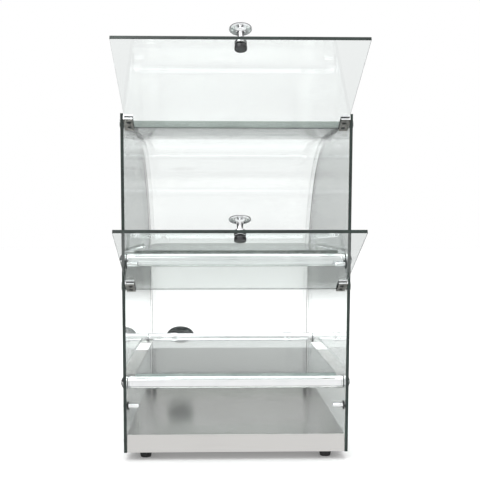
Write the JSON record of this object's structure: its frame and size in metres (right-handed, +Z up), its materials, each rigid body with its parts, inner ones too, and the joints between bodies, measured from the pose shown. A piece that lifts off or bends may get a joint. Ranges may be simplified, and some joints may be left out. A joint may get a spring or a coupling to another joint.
{
  "type": "bakery display case",
  "caption": "Curved-glass countertop bakery display case with chrome tube shelf carriers, two lift-up rear glass doors with round knobs, and a steel base on rubber feet.",
  "frame": {"origin": "on the floor, under the middle of the whole object's box with both doors open", "axes": "+Z up; +Y from the door side towards the curved customer side; +X to the right for someone at the doors looking in"},
  "size_m": [0.368, 0.8572, 0.6389],
  "materials": {
    "glass": "polished float glass",
    "clear_plastic": "clear flexible plastic",
    "brushed_steel": "satin brushed",
    "chrome": "polished",
    "black_rubber": "matt",
    "badge_plate": "smooth, plain",
    "grey_plastic": "satin, slightly clear",
    "nylon": "natural translucent nylon"
  },
  "bodies": {
    "case": {"left_side_glass": "glass", "right_side_glass": "glass", "bent_front_glass": "glass", "left_seal_strip": "clear_plastic", "right_seal_strip": "clear_plastic", "front_glass_gasket": "clear_plastic", "base_side_washers": "clear_plastic", "tube_washers": "clear_plastic", "base_frame": "brushed_steel", "deck_panel": "brushed_steel", "bottom_plate": "brushed_steel", "front_fascia": "brushed_steel", "fascia_screws": "chrome", "base_side_screws": "chrome", "foot_screws": "chrome", "lower_near_tube": "chrome", "lower_far_tube": "chrome", "middle_near_tube": "chrome", "middle_far_tube": "chrome", "tube_ferrules": "chrome", "lower_shelf_clips": "chrome", "tube_end_caps": "chrome", "stop_pins": "chrome", "stop_pin_screws": "chrome", "rubber_feet": "black_rubber", "stop_pin_collars": "black_rubber", "oval_badge": "badge_plate", "rear_edge_lip": "grey_plastic", "hinge_bushes": "nylon"},
    "upper_door": {"upper_door_glass": "glass", "upper_knob_washers": "clear_plastic", "upper_hinge_clamps": "chrome", "upper_clamp_screws": "chrome", "upper_hinge_pins": "chrome", "upper_door_knob": "chrome", "upper_knob_screw": "chrome", "upper_clamp_liners": "black_rubber"},
    "lower_door": {"lower_door_glass": "glass", "lower_hinge_clamps": "chrome", "lower_clamp_liners": "black_rubber", "lower_clamp_screws": "chrome", "lower_hinge_pins": "chrome", "lower_door_knob": "chrome", "lower_knob_screw": "chrome", "lower_knob_washers": "clear_plastic"},
    "lower_shelf": {"lower_shelf_glass": "glass", "lower_shelf_pads": "clear_plastic"},
    "middle_shelf": {"middle_shelf_glass": "glass", "middle_shelf_pads": "clear_plastic"}
  },
  "joints": [
    {"name": "upper_door_hinge", "type": "hinge", "parent": "case", "child": "upper_door", "pos_m": [0, -0.2089, 0.528], "axis": [1, 0, 0], "range_deg": [0, 117.39]},
    {"name": "lower_door_hinge", "type": "hinge", "parent": "case", "child": "lower_door", "pos_m": [0, -0.18531, 0.278], "axis": [1, 0, 0], "range_deg": [0, 117.39]},
    {"name": "lower_shelf_lift", "type": "slide", "parent": "case", "child": "lower_shelf", "axis": [0, 0, 1], "range_m": [0, 0.03]},
    {"name": "middle_shelf_lift", "type": "slide", "parent": "case", "child": "middle_shelf", "axis": [0, -0.5, 0.866], "range_m": [0, 0.018]}
  ],
  "couplings": [
    {"joint": "upper_door_hinge", "follows": "lower_door_hinge", "ratio": 1}
  ]
}
